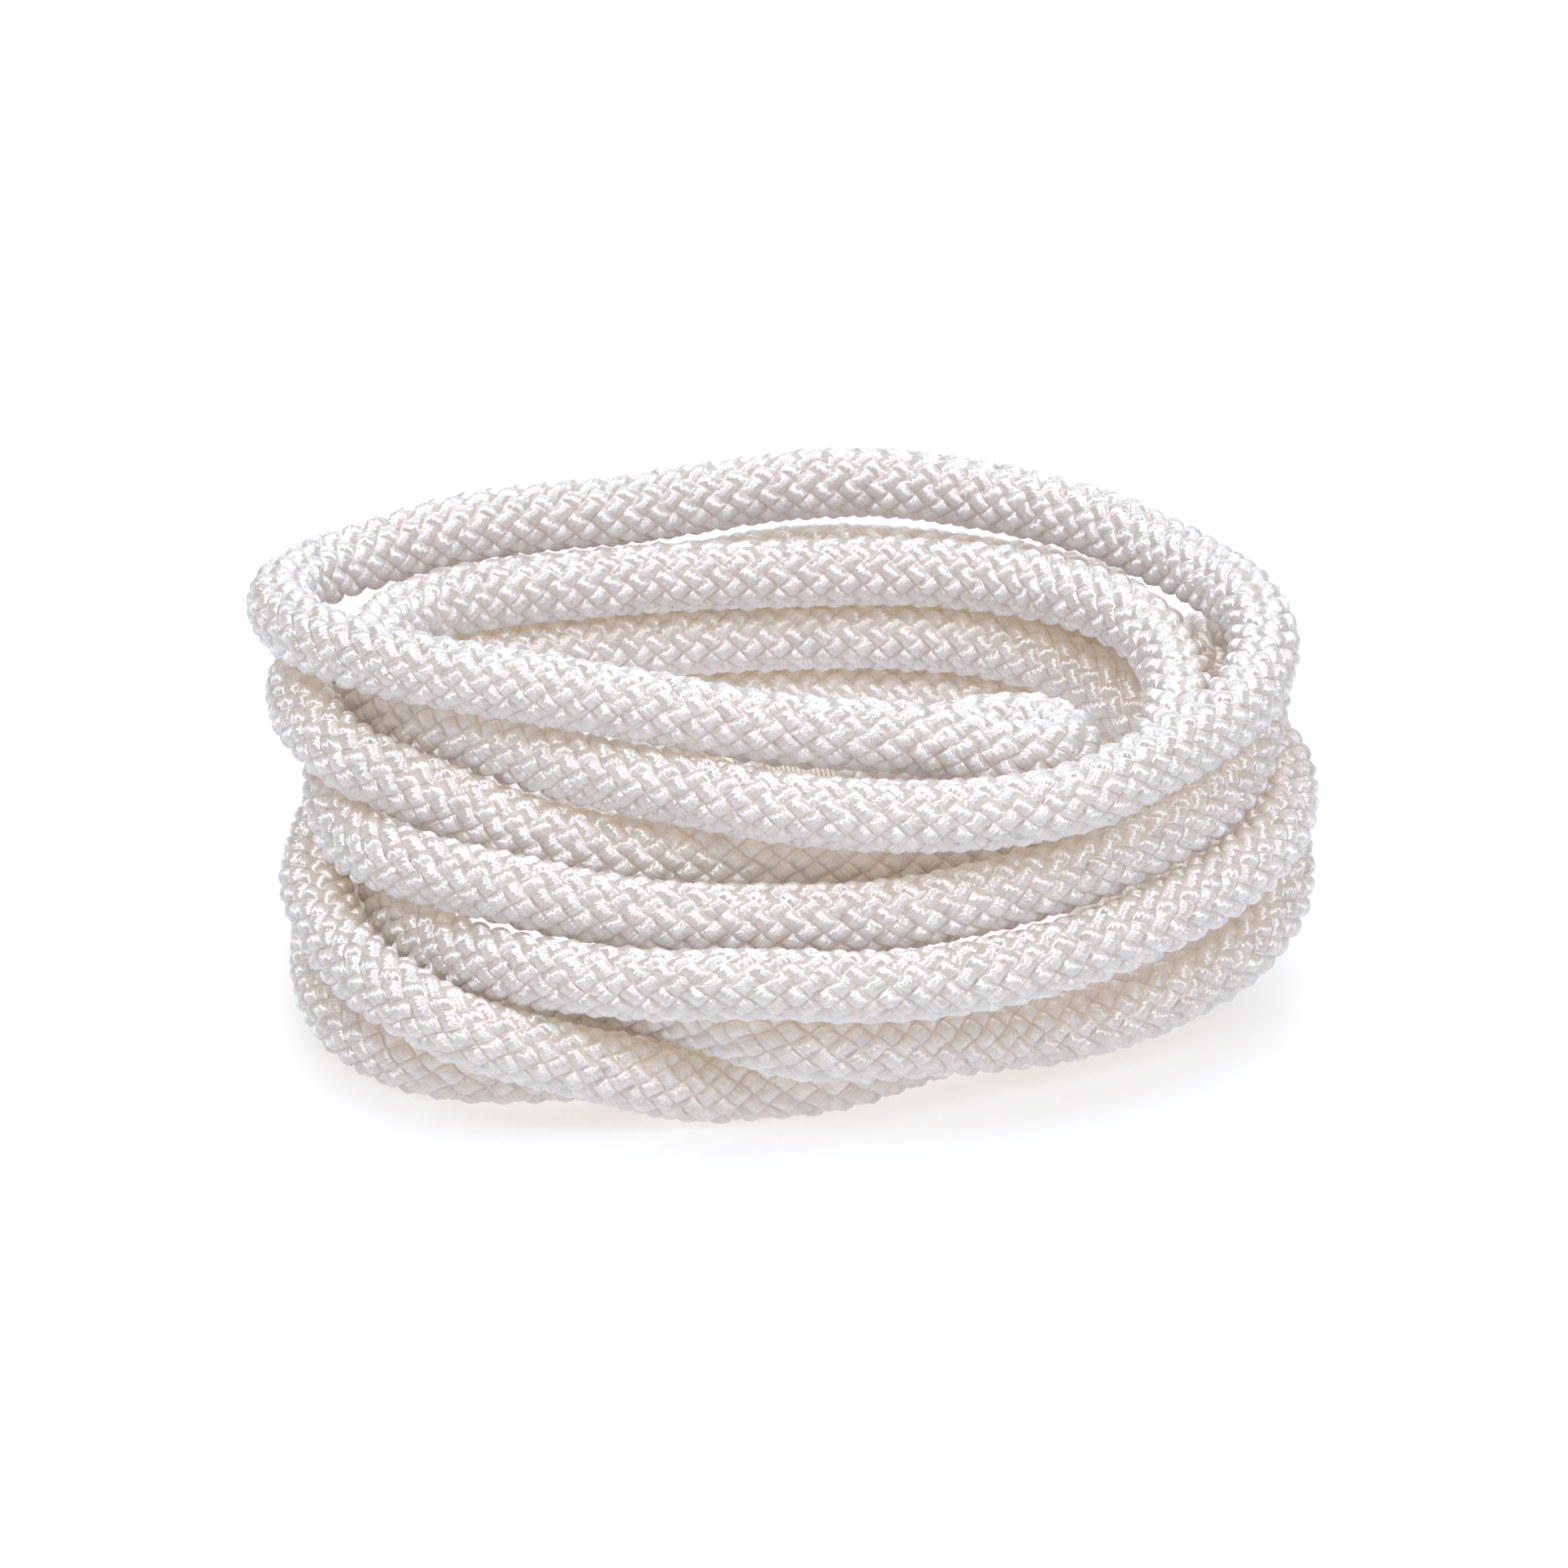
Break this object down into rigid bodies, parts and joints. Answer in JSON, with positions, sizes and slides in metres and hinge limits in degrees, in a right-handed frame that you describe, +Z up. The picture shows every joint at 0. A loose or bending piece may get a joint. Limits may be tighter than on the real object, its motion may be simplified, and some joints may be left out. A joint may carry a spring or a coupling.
{
  "type": "coiled dock line",
  "caption": "Loose round coil of white braided mooring rope with a filled core and two whipped, heat-sealed ends.",
  "frame": {"origin": "centre of the coil's outline on the surface it lies on", "axes": "+Z up through the open middle of the coil, +X along the coil's longest width, -Y towards the coil's front"},
  "size_m": [0.1719, 0.1462, 0.0671],
  "materials": {
    "cover_braid": "satin polyester braid",
    "core_strands": "matt parallel fibre",
    "whipping_twine": "waxed twine",
    "melted_ends": "heat-sealed"
  },
  "bodies": {
    "root": {"rope_cover": "cover_braid", "rope_core": "core_strands", "whipping_inner": "whipping_twine", "whipping_outer": "whipping_twine", "melted_tip_inner": "melted_ends", "melted_tip_outer": "melted_ends"}
  },
  "joints": []
}
